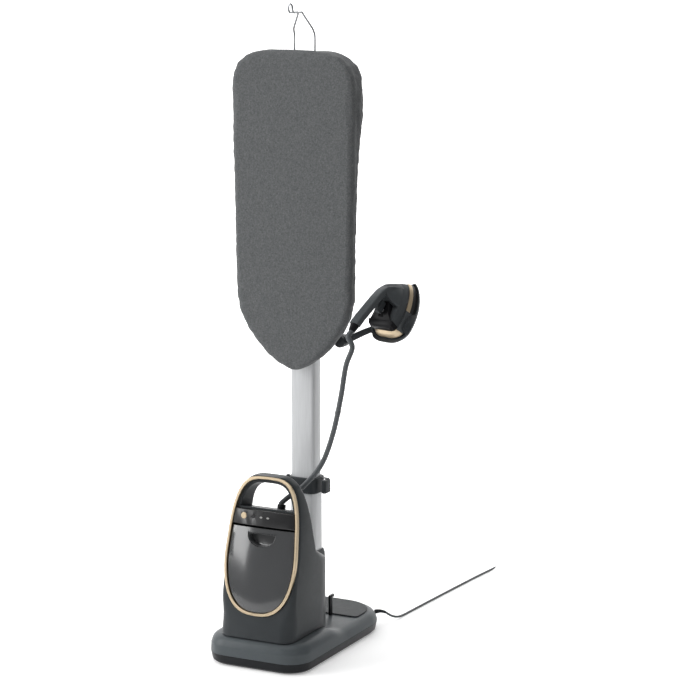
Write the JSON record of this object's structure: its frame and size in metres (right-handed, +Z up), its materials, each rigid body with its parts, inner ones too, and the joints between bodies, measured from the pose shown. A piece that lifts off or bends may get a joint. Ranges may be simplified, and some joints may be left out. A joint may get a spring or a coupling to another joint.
{
  "type": "ironing station",
  "caption": "Standing steam ironing station: padded tilting board on a telescopic pole, steam generator tower with a water tank, and a handheld iron resting at the side.",
  "frame": {"origin": "on the floor, at the foot of the pole, in the middle of the tray's heel boss", "axes": "+Z up the pole, -Y the front, where the board's ironing face and the water tank look, +X right seen from the front"},
  "size_m": [0.5328, 1.382, 1.7762],
  "materials": {
    "tower_grey": "fine satin moulded plastic",
    "base_grey": "fine satin moulded plastic",
    "rim_black": "satin black moulded plastic",
    "panel_gloss": "piano black gloss",
    "tank_smoke": "smoked see-through plastic",
    "champagne": "satin champagne metallised plastic",
    "pole_silver": "satin anodised",
    "steel": "bright wire and plate",
    "heater_metal": "cast",
    "ballast": "rough cast",
    "brass_pipe": "drawn tube",
    "cover_fabric": "grey melange woven cotton over foam",
    "board_padding": "foam and wire mesh in the same cover",
    "iron_grey": "fine satin moulded plastic",
    "iron_black": "satin black moulded plastic",
    "ceramic_sole": "dark ceramic coated steel",
    "hose_grey": "braided sleeve over a rubber hose",
    "cord_grey": "satin round mains cord",
    "foot_rubber": "matt rubber",
    "lens_white": "frosted light window",
    "circuit_green": "circuit board"
  },
  "bodies": {
    "root": {"base_tray": "rim_black", "base_cover": "base_grey", "ballast_plate": "ballast", "foot_pad_front_left": "foot_rubber", "foot_pad_front_right": "foot_rubber", "foot_pad_rear_left": "foot_rubber", "foot_pad_rear_right": "foot_rubber", "tail_panel": "rim_black", "pole_socket": "rim_black", "cord_gland": "rim_black", "cord_clip": "rim_black", "outer_pole": "pole_silver", "pole_collar": "tower_grey", "lever_pin": "steel", "tower_shell": "tower_grey", "tower_rear_cover": "tower_grey", "trim_ring": "champagne", "tank_dock": "rim_black", "control_panel": "panel_gloss", "left_lens": "lens_white", "right_lens": "lens_white", "control_board": "circuit_green", "water_pump": "rim_black", "boiler": "heater_metal", "feed_pipe": "brass_pipe", "hose_outlet": "rim_black", "steam_hose": "hose_grey", "mains_cord": "cord_grey", "mains_cord_coil": "cord_grey", "mains_plug": "cord_grey"},
    "column": {"inner_pole": "pole_silver", "lower_bushing": "rim_black", "pole_head": "tower_grey", "tilt_pin": "steel", "rest_clamp": "tower_grey", "rest_arm": "tower_grey", "iron_cradle": "tower_grey"},
    "board": {"board_bracket": "steel", "board_core": "board_padding", "board_cover": "cover_fabric", "hanger_guide_left": "rim_black", "hanger_guide_right": "rim_black"},
    "hanger": {"hanger_wire": "steel"},
    "board_lever": {"tilt_lever": "rim_black"},
    "iron": {"iron_shell": "iron_grey", "iron_core": "iron_black", "iron_trim": "champagne", "soleplate": "ceramic_sole", "heater_block": "heater_metal", "hose_cuff": "iron_black", "trigger_spring": "steel"},
    "trigger": {"steam_trigger": "tower_grey"},
    "power_key": {"power_button": "champagne"},
    "steam_key": {"steam_button": "panel_gloss"},
    "tank": {"water_tank": "tank_smoke", "tank_grip": "tank_smoke", "tank_valve": "lens_white"},
    "clamp_lever": {"collar_lever": "tower_grey"},
    "knob": {"rest_knob": "tower_grey"}
  },
  "joints": [
    {"name": "pole_slide", "type": "slide", "parent": "root", "child": "column", "axis": [0, 0, 1], "range_m": [-0.22, 0], "deforming": ["steam_hose"]},
    {"name": "board_tilt", "type": "hinge", "parent": "column", "child": "board", "pos_m": [0, 0, 1.195], "axis": [1, 0, 0], "range_deg": [-90, 0]},
    {"name": "hanger_slide", "type": "slide", "parent": "board", "child": "hanger", "axis": [0, 0, 1], "range_m": [-0.05, 0]},
    {"name": "board_lever_pull", "type": "hinge", "parent": "board", "child": "board_lever", "pos_m": [0.067, -0.0295, 1.14], "axis": [0, -1, 0], "range_deg": [0, 12], "stiffness_Nm_per_rad": 0.5, "springref_deg": -11.46},
    {"name": "iron_lift", "type": "slide", "parent": "column", "child": "iron", "axis": [-0.1923, -0.7178, 0.6691], "range_m": [0, 0.12], "deforming": ["steam_hose"]},
    {"name": "trigger_squeeze", "type": "slide", "parent": "iron", "child": "trigger", "axis": [0.1923, 0.7178, -0.6691], "range_m": [0, 0.004], "stiffness_N_per_m": 300, "springref_m": -0.002, "deforming": ["trigger_spring"]},
    {"name": "power_press", "type": "slide", "parent": "root", "child": "power_key", "axis": [0, 0.9766, -0.2149], "range_m": [0, 0.0015], "stiffness_N_per_m": 600, "springref_m": -0.0005},
    {"name": "steam_press", "type": "slide", "parent": "root", "child": "steam_key", "axis": [0, 0.9766, -0.2149], "range_m": [0, 0.0015], "stiffness_N_per_m": 600, "springref_m": -0.0005},
    {"name": "tank_pull", "type": "slide", "parent": "root", "child": "tank", "axis": [0, -0.9766, 0.2149], "range_m": [0, 0.12]},
    {"name": "clamp_lever_turn", "type": "hinge", "parent": "root", "child": "clamp_lever", "pos_m": [0.0637, 0.0058, 0.4495], "axis": [0, 0, 1], "range_deg": [0, 80]},
    {"name": "knob_turn", "type": "hinge", "parent": "column", "child": "knob", "pos_m": [0.114, -0.017, 0.862], "axis": [0, 1, 0], "range_deg": [0, 90]}
  ]
}
